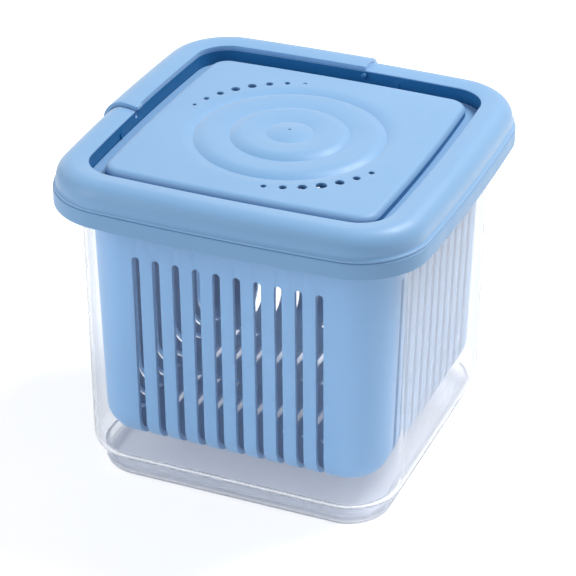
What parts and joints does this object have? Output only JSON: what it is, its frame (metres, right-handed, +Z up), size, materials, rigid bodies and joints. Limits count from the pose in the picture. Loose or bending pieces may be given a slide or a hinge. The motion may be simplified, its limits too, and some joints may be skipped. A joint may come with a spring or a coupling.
{
  "type": "produce keeper",
  "caption": "Square clear storage tub with a slotted drain basket hanging in it, a vented press-on lid with a deep rounded collar, and a folding corner handle.",
  "frame": {"origin": "middle of the tub's foot, on the surface it stands on", "axes": "+Z up; -Y is the front face; the folding handle lies over the back left corner (-X, +Y)"},
  "size_m": [0.2014, 0.2014, 0.1813],
  "materials": {
    "clear_plastic": "clear, slightly milky, polished",
    "blue_plastic": "satin light blue with a fine moulded grain"
  },
  "bodies": {
    "vessel": {"tub": "clear_plastic", "basket": "blue_plastic"},
    "lid": {"lid_ring": "blue_plastic", "lid_panel": "blue_plastic"},
    "handle": {"corner_handle": "blue_plastic"}
  },
  "joints": [
    {"name": "lid_lift", "type": "slide", "parent": "vessel", "child": "lid", "axis": [0, 0, 1], "range_m": [0, 0.06]},
    {"name": "handle_fold", "type": "hinge", "parent": "lid", "child": "handle", "pos_m": [-0.082, -0.01, 0.1751], "axis": [0.7071, 0.7071, 0], "range_deg": [0, 90]}
  ]
}
